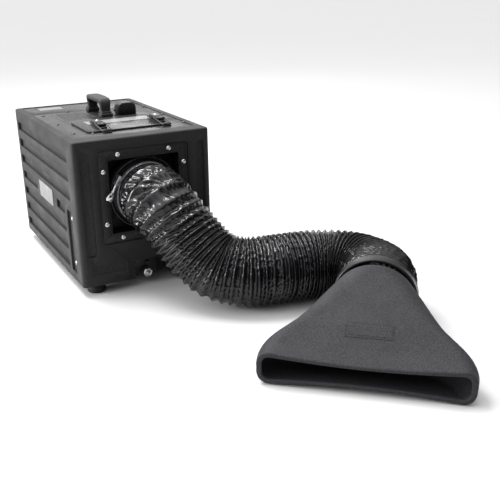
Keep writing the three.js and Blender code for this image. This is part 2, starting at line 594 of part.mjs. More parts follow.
function addBlower() {
  const { x, z, radius, y: [y0, y1], impeller } = BLOWER;
  const drum = (r, a, b, n = 28) => cylinder(r, [a, b], [x, z], n);
  const outlet = (grow, a, b) =>
    box([x - radius + grow, x - radius + 62 - grow], [a, b], [z, DECK - 14 + grow]);
  const scroll = drum(radius, y0, y1).add(outlet(0, y0, y1))
    .subtract(drum(radius - 3, y0 + 3, y1 - 3).add(outlet(3, y0 + 3, y1 - 3)))
    .subtract(drum(50, y0 - 1, y0 + 4, 24))
    .subtract(drum(8, y1 - 4, y1 + 1, 12));
  addPiece('blower_scroll', scroll, MAT.dark);

  const hub = joined(
    drum(22, y0 + 8, y1 - 8, 16), drum(impeller, y1 - 12, y1 - 8), drum(5, y1 - 10, y1 + 6, 12));
  const rings = drum(impeller, y0 + 8, y0 + 11).subtract(drum(impeller - 12, y0 + 7, y0 + 12));
  const blades = [];
  const bladeCount = 12;
  for (let i = 0; i < bladeCount; i += 1) {
    const blade = box([impeller - 14, impeller - 1], [y0 + 9, y1 - 9], [-1, 1]).rotate([0, 30, 0]);
    blades.push(blade.translate([10, 0, 30]).rotate([0, (360 * i) / bladeCount, 0]).translate([x, 0, z]));
  }
  addPiece('impeller', hub.add(rings).add(joined(...blades)), MAT.steel);

  const motor = drum(34, y1 + 9, y1 + 66, 24).add(drum(40, y1 + GAP, y1 + 10, 24))
    .subtract(drum(8, y1 - 1, y1 + 8, 12));
  const cradle = box([x - 30, x + 30], [y1 + 14, y1 + 60], [BASE + 8 + GAP, z - 20]);
  addPiece('motor', motor.add(cradle), MAT.steel);
}

function addElectrics() {
  const board = box([-60, 60], [BACK - 26, BACK - 24], [BASE + 90, BASE + 190]);
  const parts = joined(
    box([-50, -20], [BACK - 44, BACK - 25], [BASE + 100, BASE + 130]),
    box([0, 34], [BACK - 50, BACK - 25], [BASE + 140, BASE + 175]),
    box([-56, -48], [BACK - 27, BACK - WALL - GAP], [BASE + 94, BASE + 100]),
    box([48, 56], [BACK - 27, BACK - WALL - GAP], [BASE + 94, BASE + 100]));
  addPiece('control_board', board.add(parts), MAT.board);

  const body = box([72.5, 100.5], [BACK - 34, BACK + 1], [BASE + 36.5, BASE + 56.5]);
  const bezel = box([67, 106], [BACK + GAP, BACK + 3.3], [BASE + 31, BASE + 62]);
  const recess = box([76, 97], [BACK - 16, BACK + 5], [BASE + 40, BASE + 53]);
  const pins = joined(...[-6, 0, 6].map((d) =>
    box([86.5 + d - 1, 86.5 + d + 1], [BACK - 18, BACK - 2], [BASE + 45, BASE + 49])));
  addPiece('power_inlet', body.add(bezel).subtract(recess).add(pins), MAT.dark);
}

addCabinet();
topPanels();
exhaustGrille();
carryHandle();
addSwitch();
addHatch();
addLatch('left');
addLatch('right');
addIntake();
addSideFittings();
addSocket();
addClamp();
addNozzle();
addFilters();
addBlower();
addElectrics();

const extent = new THREE.Box3().setFromObject(object);
object.position.set(-(extent.min.x + extent.max.x) / 2, -(extent.min.y + extent.max.y) / 2, 0);
addHose();

export default object;
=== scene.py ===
"""Looks of the solder fume extractor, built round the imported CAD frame.

Everything is in metres in the row frame: +Z up, the cabinet's front faces -Y. The cabinet's own
centre on the bench is ORIGIN, and at(x, y, z) gives a place from there in millimetres.
"""
import json
import math

import bmesh
import bpy
import numpy as np
from mathutils import Matrix, Vector, noise

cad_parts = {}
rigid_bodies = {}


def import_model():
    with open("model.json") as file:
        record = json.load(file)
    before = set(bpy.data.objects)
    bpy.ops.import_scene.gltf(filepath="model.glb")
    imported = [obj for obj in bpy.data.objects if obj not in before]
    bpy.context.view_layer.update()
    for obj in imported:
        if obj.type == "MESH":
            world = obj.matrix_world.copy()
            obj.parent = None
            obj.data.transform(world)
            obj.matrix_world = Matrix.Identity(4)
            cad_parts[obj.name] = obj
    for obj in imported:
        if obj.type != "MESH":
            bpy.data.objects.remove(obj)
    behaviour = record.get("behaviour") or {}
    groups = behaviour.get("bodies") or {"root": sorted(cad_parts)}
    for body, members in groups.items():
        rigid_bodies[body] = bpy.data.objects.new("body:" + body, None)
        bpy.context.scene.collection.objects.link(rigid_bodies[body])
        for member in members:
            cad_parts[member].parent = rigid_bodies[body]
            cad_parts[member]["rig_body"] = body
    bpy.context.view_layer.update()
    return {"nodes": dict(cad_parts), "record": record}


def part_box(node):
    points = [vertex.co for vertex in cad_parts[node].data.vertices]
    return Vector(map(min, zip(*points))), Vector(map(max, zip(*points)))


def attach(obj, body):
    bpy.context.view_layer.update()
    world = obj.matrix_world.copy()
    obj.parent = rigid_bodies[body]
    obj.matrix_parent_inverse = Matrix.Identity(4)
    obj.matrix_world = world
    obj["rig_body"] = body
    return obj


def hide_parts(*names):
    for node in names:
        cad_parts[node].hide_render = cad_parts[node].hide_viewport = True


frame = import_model()
NODES = frame["nodes"]
SLOT_OF = {part["node"]: part["material_slot"] for part in frame["record"]["subparts"]}
BODY_OF = {node: NODES[node]["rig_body"] for node in NODES}

MM = 0.001
LOW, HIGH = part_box("housing")
ORIGIN = Vector(((LOW.x + HIGH.x) / 2, (LOW.y + HIGH.y) / 2, 0))


def at(x, y, z):
    return ORIGIN + Vector((x, y, z)) * MM


# ---------- view and light ----------
CAMERA = {"azimuth": -28.91, "elevation": 20.37, "roll": -0.708, "lens": 54.22}
CAMERA_PLACE = at(-489.76, -1498.32, 576.16)
SKY = {"bright_side": (-0.28, 0.30, 0.91), "from": -0.05, "dark": 0.05, "bright": 2.3}
# Place, target, size and power of each light, in metres and watts.
SOFTBOXES = {
    "softbox_left": ((-2.3, 0.9, 0.6), (-0.1, 0.2, 0.12), (1.0, 0.8), 52),
    "softbox_top": ((-0.6, 0.7, 2.3), (0.1, 0.0, 0.1), (0.9, 0.9), 62),
    "softbox_back": ((1.4, 2.8, 1.2), (0, 0, 0.2), (1.2, 0.5), 5),
}
FLOOR_REACH = 40

# ---------- driving dimensions, in mm from the cabinet's centre ----------
INTAKE_Z = 186.8
PLATE_FACE = -209.8
DECK = 295.5
HATCH_TOP = 298.9
HANDLE_X = 4
NECK_HEIGHT = 70.4
SCREW_RADIUS = 4.6
TOP_SCREW_RADIUS = 3.6
TOP_SCREWS = [(-104, 87), (-105, -25), (-104, -128), (-72, -146), (-45, 112), (116, 82),
              (117, -26), (118, -132)]
GRILLE = {"x": (-84, -14), "y": (12, 94), "low": DECK - 1.1, "high": DECK + 0.2, "hole": 1.25}
LATCH_X = {"left": -46, "right": 74}
LATCH = {"pivot_y": -116, "link": (-106, HATCH_TOP + 7.4), "bar": (-151.4, HATCH_TOP + 1.2)}
SWITCH = {"x": 48, "half": 20, "front": -5, "back": 19, "low": DECK + 2.9, "high": DECK + 27.6,
          "corner": 12, "wall": 2, "pivot": (15, DECK + 11)}
NOZZLE = {"neck": 167, "spigot": 55, "bore": 51, "end": 215, "wall": 5, "lip": 8.6, "corner": 20,
          "shoulder": 68.4, "pinch": 0.34, "pinch_reach": 60}
NOZZLE_POINTS = 200

# The hose's sizes in mm, and the counts of its mesh. Its line measures 0.649 m: a declared length has
# to be at least six times the declared diameter, which is the spigot's and less than the hose's own
# 0.13 m.
HOSE = {"crest": 65.0, "clamped": 59.0, "clamp_end": 24.6, "clamp_ease": 14, "least": 57.4,
        "least_from": 30, "wall": 1.4, "around": 300, "per_turn": 12, "creases": 24, "lean": 14}
# How the hose changes along its length: distances in mm, and the values there.
RIB_PITCH = ([0, 40, 90, 160, 240, 400, 500, 660], [18, 19, 17, 13, 11, 10, 10, 9.4])
RIB_DEPTH = ([0, 60, 130, 240, 420, 650], [2.4, 4.4, 6.4, 6.6, 6.6, 6.4])
RIB_SHARPNESS = ([60, 160, 420, 560], [0.5, 0.4, 0.5, 0.5])
CREASE_DEPTH = ([0, 25, 50, 130, 240, 420, 650], [0.6, 1.8, 2.5, 2.6, 2.0, 1.5, 1.7])


def placed(name, data):
    """A new object in the scene."""
    thing = bpy.data.objects.new(name, data)
    bpy.context.scene.collection.objects.link(thing)
    return thing


# ---------- camera, light and floor ----------
def add_camera():
    azimuth, elevation, roll = (math.radians(CAMERA[k]) for k in ("azimuth", "elevation", "roll"))
    forward = Vector((-math.sin(azimuth) * math.cos(elevation),
                      math.cos(azimuth) * math.cos(elevation), -math.sin(elevation)))
    level = Vector((math.cos(azimuth), math.sin(azimuth), 0))
    upward = level.cross(forward)
    right = level * math.cos(roll) + upward * math.sin(roll)
    up = upward * math.cos(roll) - level * math.sin(roll)
    data = bpy.data.cameras.new("camera")
    data.sensor_width = 36
    data.lens = CAMERA["lens"]
    data.clip_end = 200
    camera = placed("camera", data)
    camera.matrix_world = Matrix((right, up, -forward)).transposed().to_4x4()
    camera.location = CAMERA_PLACE
    bpy.context.scene.camera = camera


def add_softbox(name, place, target, size, power):
    data = bpy.data.lights.new(name, "AREA")
    data.shape = "RECTANGLE"
    data.size, data.size_y = size
    data.energy = power
    lamp = placed(name, data)
    lamp.location = place
    lamp.rotation_euler = (Vector(target) - Vector(place)).to_track_quat("-Z", "Y").to_euler()


def add_studio():
    """A grey sky, brightest overhead and a little to the back left, and three softboxes."""
    world = bpy.data.worlds.new("studio")
    world.use_nodes = True
    nodes, links = world.node_tree.nodes, world.node_tree.links
    nearness = nodes.new("ShaderNodeVectorMath")
    nearness.operation = "DOT_PRODUCT"
    nearness.inputs[1].default_value = Vector(SKY["bright_side"]).normalized()
    links.new(nodes.new("ShaderNodeTexCoord").outputs["Generated"], nearness.inputs[0])
    fade = nodes.new("ShaderNodeMapRange")
    fade.interpolation_type = "SMOOTHSTEP"
    for key, number in (("From Min", SKY["from"]), ("From Max", 1), ("To Min", SKY["dark"]),
                        ("To Max", SKY["bright"])):
        fade.inputs[key].default_value = number
    links.new(nearness.outputs["Value"], fade.inputs["Value"])
    links.new(fade.outputs["Result"], nodes["Background"].inputs["Strength"])
    nodes["Background"].inputs["Color"].default_value = (1, 1, 1, 1)
    bpy.context.scene.world = world
    bpy.context.scene.view_settings.view_transform = "Standard"
    for name, (place, target, size, power) in SOFTBOXES.items():
        add_softbox(name, place, target, size, power)


def add_floor():
    mesh = bpy.data.meshes.new("floor")
    corners = [(x * FLOOR_REACH, y * FLOOR_REACH, 0) for x, y in ((-1, -1), (1, -1), (1, 1), (-1, 1))]
    mesh.from_pydata(corners, [], [(0, 1, 2, 3)])
    floor = placed("floor", mesh)
    floor.data.materials.append(floor_material())


# ---------- materials ----------
class Shader:
    """A Principled material with the few procedural parts that the finishes below share."""

    def __init__(self, name, color, roughness, metallic=0.0, specular=0.5):
        self.material = bpy.data.materials.new(name)
        self.material.use_nodes = True
        self.nodes = self.material.node_tree.nodes
        self.links = self.material.node_tree.links
        self.bsdf = self.nodes["Principled BSDF"]
        self.bsdf.inputs["Base Color"].default_value = (*color, 1)
        self.bsdf.inputs["Roughness"].default_value = roughness
        self.bsdf.inputs["Metallic"].default_value = metallic
        self.bsdf.inputs["Specular IOR Level"].default_value = specular
        self.coordinates = self.nodes.new("ShaderNodeTexCoord").outputs["Object"]
        self.color = color
        self.normal = None

    def pattern(self, scale, detail=2.0, stretch=(1, 1, 1), distortion=0.0):
        mapping = self.nodes.new("ShaderNodeMapping")
        mapping.inputs["Scale"].default_value = stretch
        self.links.new(self.coordinates, mapping.inputs["Vector"])
        texture = self.nodes.new("ShaderNodeTexNoise")
        texture.inputs["Scale"].default_value = scale
        texture.inputs["Detail"].default_value = detail
        texture.inputs["Distortion"].default_value = distortion
        self.links.new(mapping.outputs["Vector"], texture.inputs["Vector"])
        return texture.outputs["Fac"]

    def spread(self, value, low, high, inside=(0.3, 0.7)):
        """The pattern's middle stretch turned into the range from low to high."""
        remap = self.nodes.new("ShaderNodeMapRange")
        for key, number in zip(("From Min", "From Max", "To Min", "To Max"), (*inside, low, high)):
            remap.inputs[key].default_value = number
        self.links.new(value, remap.inputs["Value"])
        return remap.outputs["Result"]

    def vary_color(self, value, dark, light, inside=(0.3, 0.7)):
        """Base colour between dark and light times the material's own colour."""
        ramp = self.nodes.new("ShaderNodeValToRGB")
        for element, place, share in zip(ramp.color_ramp.elements, inside, (dark, light)):
            element.position = place
            element.color = (*[min(1, channel * share) for channel in self.color], 1)
        self.links.new(value, ramp.inputs["Fac"])
        self.links.new(ramp.outputs["Color"], self.bsdf.inputs["Base Color"])
        return self

    def vary_roughness(self, value, low, high):
        self.links.new(self.spread(value, low, high), self.bsdf.inputs["Roughness"])
        return self

    def bump(self, value, strength, distance):
        node = self.nodes.new("ShaderNodeBump")
        node.inputs["Strength"].default_value = strength
        node.inputs["Distance"].default_value = distance
        self.links.new(value, node.inputs["Height"])
        if self.normal is not None:
            self.links.new(self.normal, node.inputs["Normal"])
        self.normal = node.outputs["Normal"]
        self.links.new(self.normal, self.bsdf.inputs["Normal"])
        return self


def floor_material():
    shader = Shader("floor_paper", (0.54, 0.54, 0.54), 0.9, specular=0.1)
    return shader.vary_color(shader.pattern(2.0), 0.99, 1.0).material


def moulding_material():
    """Fine-grained black moulding, a little scuffed."""
    shader = Shader("moulding_grain", (0.014, 0.014, 0.015), 0.4, specular=0.26)
    shader.vary_color(shader.pattern(520.0, 2), 0.55, 1.5, (0.36, 0.66))
    shader.vary_roughness(shader.pattern(22.0, 5), 0.46, 0.64)
    return shader.bump(shader.pattern(800.0, 2), 0.5, 0.0004).material


def panel_material():
    """Semi-gloss powder coat with a fine orange peel and faint speckle."""
    shader = Shader("panel_coat", (0.026, 0.026, 0.027), 0.28, specular=0.18)
    shader.vary_color(shader.pattern(620.0, 2), 0.45, 1.7, (0.38, 0.64))
    shader.vary_roughness(shader.pattern(40.0, 4), 0.2, 0.34)
    return shader.bump(shader.pattern(520.0, 2), 0.25, 0.0004).material


def plate_material():
    """Black satin powder coat on sheet steel."""
    shader = Shader("plate_coat", (0.010, 0.010, 0.010), 0.4, specular=0.22)
    shader.vary_color(shader.pattern(480.0, 2), 0.4, 2.2, (0.40, 0.64))
    shader.vary_roughness(shader.pattern(60.0, 4), 0.34, 0.52)
    return shader.bump(shader.pattern(640.0, 2), 0.5, 0.0005).material


def trim_material():
    """Smooth black plastic with light handling marks."""
    shader = Shader("trim_plastic", (0.010, 0.010, 0.011), 0.32, specular=0.35)
    shader.vary_color(shader.pattern(45.0, 3), 0.8, 1.3)
    shader.vary_roughness(shader.pattern(70.0, 5), 0.24, 0.44)
    return shader.bump(shader.pattern(260.0, 3), 0.12, 0.0004).material


def rubber_material():
    shader = Shader("rubber_matt", (0.014, 0.014, 0.014), 0.75, specular=0.3)
    shader.vary_color(shader.pattern(60.0, 4), 0.75, 1.5)
    shader.vary_roughness(shader.pattern(90.0, 4), 0.62, 0.85)
    return shader.bump(shader.pattern(900.0, 2), 0.4, 0.0003).material


def zinc_material():
    """Bright zinc plating."""
    shader = Shader("zinc_plate", (0.72, 0.72, 0.73), 0.22, metallic=1.0)
    shader.vary_color(shader.pattern(300.0, 3), 0.82, 1.08)
    shader.vary_roughness(shader.pattern(500.0, 3), 0.14, 0.34)
    return shader.bump(shader.pattern(1500.0, 2), 0.1, 0.0002).material


def steel_material():
    """Brushed steel, its scratches along X."""
    shader = Shader("steel_brushed", (0.50, 0.50, 0.51), 0.36, metallic=1.0)
    shader.vary_color(shader.pattern(160.0, 4, (0.08, 1, 1)), 0.75, 1.15)
    shader.vary_roughness(shader.pattern(420.0, 3, (0.06, 1, 1)), 0.26, 0.5)
    return shader.bump(shader.pattern(700.0, 2, (0.05, 1, 1)), 0.2, 0.0002).material


def grille_material():
    """Black-coated perforated sheet."""
    shader = Shader("grille_coat", (0.045, 0.045, 0.046), 0.4, metallic=0.2)
    shader.vary_color(shader.pattern(120.0, 3), 0.8, 1.25)
    return shader.vary_roughness(shader.pattern(200.0, 3), 0.3, 0.5).material


def film_material():
    """Thin glossy black film with fine crumples between the larger folds."""
    shader = Shader("hose_film", (0.004, 0.004, 0.005), 0.14, specular=0.42)
    shader.vary_color(shader.pattern(35.0, 4), 0.75, 1.5)
    shader.vary_roughness(shader.pattern(55.0, 5), 0.10, 0.26)
    shader.bump(shader.pattern(110.0, 3, distortion=0.8), 0.25, 0.0012)
    return shader.bump(shader.pattern(700.0, 3), 0.2, 0.0004).material


def nozzle_material():
    """Dark grey plastic with a spark-eroded texture."""
    shader = Shader("nozzle_texture", (0.026, 0.026, 0.029), 0.6, specular=0.16)
    shader.vary_color(shader.pattern(700.0, 2), 0.55, 1.6, (0.36, 0.66))
    shader.vary_roughness(shader.pattern(30.0, 4), 0.54, 0.7)
    return shader.bump(shader.pattern(700.0, 2), 0.6, 0.0005).material


def blackened_material():
    """Screws with a dark phosphate finish."""
    shader = Shader("steel_blackened", (0.07, 0.07, 0.07), 0.35, metallic=1.0)
    shader.vary_color(shader.pattern(300.0, 3), 0.7, 1.4)
    return shader.vary_roughness(shader.pattern(500.0, 3), 0.25, 0.5).material


def handle_material():
    """Black nylon with a leathery grain, its tone varying a little at random."""
    shader = Shader("handle_grain", (0.022, 0.022, 0.023), 0.5, specular=0.22)
    shader.vary_color(shader.pattern(14.0, 4), 0.8, 1.3)
    shader.vary_roughness(shader.pattern(35.0, 5), 0.42, 0.6)
    return shader.bump(shader.pattern(900.0, 3), 0.5, 0.0004).material


def band_material():
    """Plain printed strip: satin light grey ink on the coated hatch."""
    shader = Shader("band_ink", (0.2, 0.2, 0.2), 0.45, specular=0.2)
    shader.vary_color(shader.pattern(60.0, 4), 0.8, 1.15)
    shader.vary_roughness(shader.pattern(80.0, 4), 0.34, 0.5)
    return shader.bump(shader.pattern(700.0, 2), 0.15, 0.0002).material


def label_material():
    """Plain satin plate."""
    shader = Shader("label_satin", (0.20, 0.20, 0.20), 0.5, metallic=0.2)
    shader.vary_color(shader.pattern(80.0, 4), 0.85, 1.1)
    shader.vary_roughness(shader.pattern(150.0, 4), 0.38, 0.55)
    return shader.bump(shader.pattern(900.0, 2), 0.1, 0.0002).material


def filter_material():
    """White fibre in fine pleats."""
    shader = Shader("filter_fibre", (0.80, 0.79, 0.74), 0.9, specular=0.2)
    shader.vary_color(shader.pattern(220.0, 4, (1, 0.1, 0.1)), 0.8, 1.05)
    return shader.bump(shader.pattern(260.0, 3, (1, 0.05, 0.05)), 0.8, 0.002).material


def carbon_material():
    shader = Shader("carbon_foam", (0.022, 0.022, 0.022), 0.95, specular=0.1)
    shader.vary_color(shader.pattern(600.0, 3), 0.4, 2.0)
    return shader.bump(shader.pattern(500.0, 3), 0.9, 0.0015).material


def board_material():
    shader = Shader("board_laminate", (0.015, 0.10, 0.045), 0.4)
    shader.vary_color(shader.pattern(180.0, 3, (1, 1, 0.15)), 0.6, 1.4)
    return shader.bump(shader.pattern(400.0, 2), 0.2, 0.0003).material


FINISHES = {
    "moulding": moulding_material(), "panel": panel_material(), "plate": plate_material(),
    "trim": trim_material(), "rubber": rubber_material(), "screws": zinc_material(),
    "film": film_material(), "nozzle": nozzle_material(), "label": label_material(),
    "steel": steel_material(), "filter": filter_material(), "carbon": carbon_material(),
    "board": board_material(), "grille": grille_material(), "blackened": blackened_material(),
    "handle": handle_material(), "band": band_material(),
}


# ---------- mesh helpers ----------
def new_piece(name, vertices, faces, smooth=True):
    mesh = bpy.data.meshes.new(name)
    mesh.from_pydata([tuple(v) for v in vertices], [], faces)
    mesh.validate()
    piece = placed(name, mesh)
    mesh.polygons.foreach_set("use_smooth", [smooth] * len(mesh.polygons))
    return piece


def outward(piece):
    """Turns every face of a closed piece outwards."""
    bm = bmesh.new()
    bm.from_mesh(piece.data)
    bmesh.ops.recalc_face_normals(bm, faces=bm.faces)
    bm.to_mesh(piece.data)
    bm.free()
    return piece


def dress(piece, body, slot, finish=None, replaces=()):
    """Gives a piece its material and the body it rides on, and hides the CAD nodes that it stands for."""
    piece.data.materials.clear()
    piece.data.materials.append(FINISHES[finish or slot])
    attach(piece, body)
    if replaces:
        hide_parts(*replaces)
    return piece


def applied(piece):
    """The piece with its modifiers worked into its mesh."""
    bpy.context.view_layer.update()
    mesh = bpy.data.meshes.new_from_object(piece.evaluated_get(bpy.context.evaluated_depsgraph_get()))
    piece.modifiers.clear()
    piece.data = mesh
    return piece


def cut_away(piece, cutter):
    """Cuts one piece out of another, and drops the first."""
    cut = piece.modifiers.new("cut", "BOOLEAN")
    cut.operation = "DIFFERENCE"
    cut.solver = "EXACT"
    cut.object = cutter
    applied(piece)
    bpy.data.objects.remove(cutter)


def round_edges(piece, width, segments=2, angle=25):
    bevel = piece.modifiers.new("bevel", "BEVEL")
    bevel.width = width * MM
    bevel.segments = segments
    bevel.limit_method = "ANGLE"
    bevel.angle_limit = math.radians(angle)
    bevel.harden_normals = True
    return applied(piece)


def refined(node, width, segments=2, finish=None):
    """A copy of a CAD node with its flat facets joined and its edges rounded over."""
    bm = bmesh.new()
    bm.from_mesh(NODES[node].data)
    bmesh.ops.remove_doubles(bm, verts=bm.verts, dist=1e-6)
    bmesh.ops.dissolve_limit(bm, angle_limit=math.radians(0.5), verts=bm.verts, edges=bm.edges)
    for face in bm.faces:
        face.smooth = True
    mesh = bpy.data.meshes.new(node + "_finished")
    bm.to_mesh(mesh)
    bm.free()
    piece = placed(node + "_finished", mesh)
    round_edges(piece, width, segments)
    return dress(piece, BODY_OF[node], SLOT_OF[node], finish, [node])


def ring_faces(rows, columns, closed=False):
    """Quads between rows of vertices that go all the way round."""
    faces = []
    for r in range(rows if closed else rows - 1):
        below, above = r * columns, ((r + 1) % rows) * columns
        for c in range(columns):
            nxt = (c + 1) % columns
            faces.append((below + c, below + nxt, above + nxt, above + c))
    return faces


def turned(name, profile, centre, axis, segments=64):
    """A closed ring turned about an axis. The profile lists radius and distance along it, in mm."""
    axis = Vector(axis).normalized()
    side = axis.orthogonal().normalized()
    other = axis.cross(side)
    vertices = []
    for radius, along in profile:
        for i in range(segments):
            turn = 2 * math.pi * i / segments
            spoke = side * math.cos(turn) + other * math.sin(turn)
            vertices.append(centre + spoke * (radius * MM) + axis * (along * MM))
    return outward(new_piece(name, vertices, ring_faces(len(profile), segments, closed=True)))


# ---------- the nozzle's own frame ----------
NOZZLE_MOUTH = at(106.3, -749.6, 0)
NOZZLE_HEADING = math.radians(-42.3)
ACROSS = Vector((math.cos(NOZZLE_HEADING), math.sin(NOZZLE_HEADING), 0))
ALONG = Vector((-math.sin(NOZZLE_HEADING), math.cos(NOZZLE_HEADING), 0))


def on_nozzle(u, behind, z):
    """A place u mm to the right of the nozzle's axis, at a distance behind its mouth."""
    return NOZZLE_MOUTH + (ACROSS * u + ALONG * behind) * MM + Vector((0, 0, z * MM))


def add_cuff():
    """The smooth collar that holds the hose on the nozzle, with a shallow bead at each edge."""
    profile = [(65.6, 184), (68.0, 184), (69.4, 184.8), (69.9, 186.2), (69.3, 188), (69.2, 196),
               (69.3, 203.4), (69.9, 205), (69.2, 207), (67.6, 208), (65.6, 208)]
    cuff = turned("nozzle_cuff_ring", profile, on_nozzle(0, 0, NECK_HEIGHT), ALONG, 128)
    return dress(cuff, "nozzle", "rubber", "trim", ["nozzle_cuff"])


# ---------- the hose ----------
HOSE_ROUTE = [
    (0, -0.2004, 0.1868), (0, -0.212, 0.1868), (0, -0.225, 0.1868), (0.0015, -0.244, 0.184),
    (0.005, -0.262, 0.1775), (0.011, -0.278, 0.167), (0.019, -0.291, 0.153), (0.035, -0.312, 0.124),
    (0.052, -0.335, 0.097), (0.073, -0.361, 0.075), (0.105, -0.386, 0.0665), (0.145, -0.402, 0.066),
    (0.190, -0.410, 0.066), (0.235, -0.420, 0.066), (0.272, -0.440, 0.066), (0.296, -0.474, 0.066),
    (0.302, -0.513, 0.067), (0.293, -0.546, 0.069), (0.273, -0.570, 0.0703), (0.2515, -0.590, 0.0704),
    (0.2314, -0.612, 0.0704),
]


def smooth_route(points, per_span=24):
    """A centripetal Catmull-Rom curve through the points."""
    p = [np.array(q, float) for q in points]
    p = [2 * p[0] - p[1], *p, 2 * p[-1] - p[-2]]
    line = []
    for a, b, c, d in zip(p, p[1:], p[2:], p[3:]):
        before, span, after = (np.linalg.norm(v) ** 0.5 for v in (b - a, c - b, d - c))
        start = ((b - a) / before - (c - a) / (before + span) + (c - b) / span) * span
        end = ((c - b) / span - (d - b) / (span + after) + (d - c) / after) * span
        for t in np.arange(per_span) / per_span:
            line.append((2 * t**3 - 3 * t**2 + 1) * b + (t**3 - 2 * t**2 + t) * start
                        + (3 * t**2 - 2 * t**3) * c + (t**3 - t**2) * end)
    return np.array([*line, p[-2]])


class HoseShape:
    """Radius of the hose's film all round it, at a distance along it in mm."""

    def __init__(self, length):
        self.s = np.linspace(0, length, 3000)
        self.turns = np.concatenate([[0], np.cumsum(np.diff(self.s) / np.interp(self.s[:-1], *RIB_PITCH))])
        self.angles = [2 * math.pi * i / HOSE["around"] for i in range(HOSE["around"])]

    def stations(self):
        count = int(self.turns[-1] * HOSE["per_turn"])
        return np.interp(np.linspace(0, self.turns[-1], count), self.turns, self.s)

    def crumple(self, s, angle):
        """Height of the film's creases: sharp folds that lean one way, and weaker ones that cross."""
        c, t = math.cos(angle), math.sin(angle)
        drift = noise.noise(Vector((c * 1.4, t * 1.4, s / 38)))
        other = noise.noise(Vector((c * 1.9, t * 1.9, s / 26 + 7)))
        around = HOSE["creases"] * angle / (2 * math.pi)
        leaning, crossing = (
            abs(2 * ((around + lean * s / HOSE["lean"] + 2.0 * shift) % 1.0) - 1)
            for lean, shift in ((1, drift), (-0.6, other)))
        return (1 - 2.4 * leaning) * (0.8 + 0.8 * drift) + (0.5 - crossing) * (0.6 + other)

    def ring(self, s):
        first = float(np.interp(s, self.s, self.turns))
        sharpness = float(np.interp(s, *RIB_SHARPNESS))
        depth = float(np.interp(s, *RIB_DEPTH))
        loose = float(np.interp(s, *CREASE_DEPTH))
        ease = min(1.0, max(0.0, (s - HOSE["clamp_end"]) / HOSE["clamp_ease"]))
        ease = ease * ease * (3 - 2 * ease)
        radii = []
        for angle in self.angles:
            phase = (first + angle / (2 * math.pi)) % 1.0
            off_wire = min(phase, 1 - phase)
            round_sag = 0.5 - 0.5 * math.cos(2 * math.pi * off_wire)
            sharp_sag = 1 - (1 - 2 * off_wire) ** 2
            sag = round_sag + (sharp_sag - round_sag) * sharpness
            crease = loose * self.crumple(s, angle)
            free = HOSE["crest"] - 0.8 - 0.12 * loose - depth * sag + crease * (0.2 + 0.8 * sag)
            tied = HOSE["clamped"] - 0.7 + 0.2 * crease
            radius = tied + (min(free, HOSE["crest"]) - tied) * ease
            radii.append(max(HOSE["least"] if s > HOSE["least_from"] else 0.0, radius))
        return radii


def hose_frames(line, stations):
    """Centre, and the two directions across, at each distance along the line in mm."""
    steps = np.concatenate([[0], np.cumsum(np.linalg.norm(np.diff(line, axis=0), axis=1))])
    centres = np.stack([np.interp(stations * MM, steps, line[:, k]) for k in range(3)], axis=1)
    tangents = np.gradient(centres, axis=0)
    tangents /= np.linalg.norm(tangents, axis=1)[:, None]
    across = np.array([0.0, 0.0, 1.0])
    frames = []
    for centre, tangent in zip(centres, tangents):
        across = across - tangent * across.dot(tangent)
        across /= np.linalg.norm(across)
        frames.append((centre, across.copy(), np.cross(tangent, across)))
    return frames


def add_hose():
    line = smooth_route([ORIGIN + Vector(p) for p in HOSE_ROUTE])
    length = float(np.linalg.norm(np.diff(line, axis=0), axis=1).sum())
    shape = HoseShape(length / MM)
    stations = shape.stations()
    frames = hose_frames(line, stations)
    around = HOSE["around"]
    outside, inside = [], []
    for index, (s, (centre, across, other)) in enumerate(zip(stations, frames)):
        radii = shape.ring(float(s))
        thin = index % HOSE["per_turn"] == 0 or index == len(stations) - 1
        for angle, radius in zip(shape.angles, radii):
            spoke = across * math.cos(angle) + other * math.sin(angle)
            outside.append(centre + spoke * radius * MM)
            if thin:
                inside.append(centre + spoke * (HOSE["least"] - HOSE["wall"]) * MM)
    rows = len(outside) // around
    inner_rows = len(inside) // around
    flipped = [inside[r * around:(r + 1) * around] for r in reversed(range(inner_rows))]
    vertices = outside + [v for row in flipped for v in row]
    hose = outward(new_piece("hose_film", vertices, ring_faces(rows + inner_rows, around, closed=True)))
    dress(hose, "cabinet", "film", replaces=["duct_hose"])
    add_cuff()


# ---------- nozzle ----------
# Distance behind the mouth, half width, and heights of the top and the bottom.
NOZZLE_STATIONS = [
    (0, 157.5, 54.7, 0), (21, 160, 61, 0), (35, 157, 67.5, 0), (48, 149, 74, 0), (62, 136, 81.5, 0),
    (80, 120, 91.5, 0.3), (105, 104, 105, 0.8), (132, 89, 119.5, 1.4), (154, 76, 131.5, 1.8),
    (167, 68.4, 138.8, 2),
]
NOZZLE_TABLE = smooth_route(NOZZLE_STATIONS, 9)


def nozzle_size(behind, inset=0.0):
    """Half width, half height and middle height of the nozzle, and how far its middle is pinched."""
    half, top, bottom = (np.interp(behind, NOZZLE_TABLE[:, 0], NOZZLE_TABLE[:, k]) for k in (1, 2, 3))
    pinch = NOZZLE["pinch"] * max(0.0, 1 - behind / NOZZLE["pinch_reach"])
    return half - inset, (top - bottom) / 2 - inset, (top + bottom) / 2, pinch


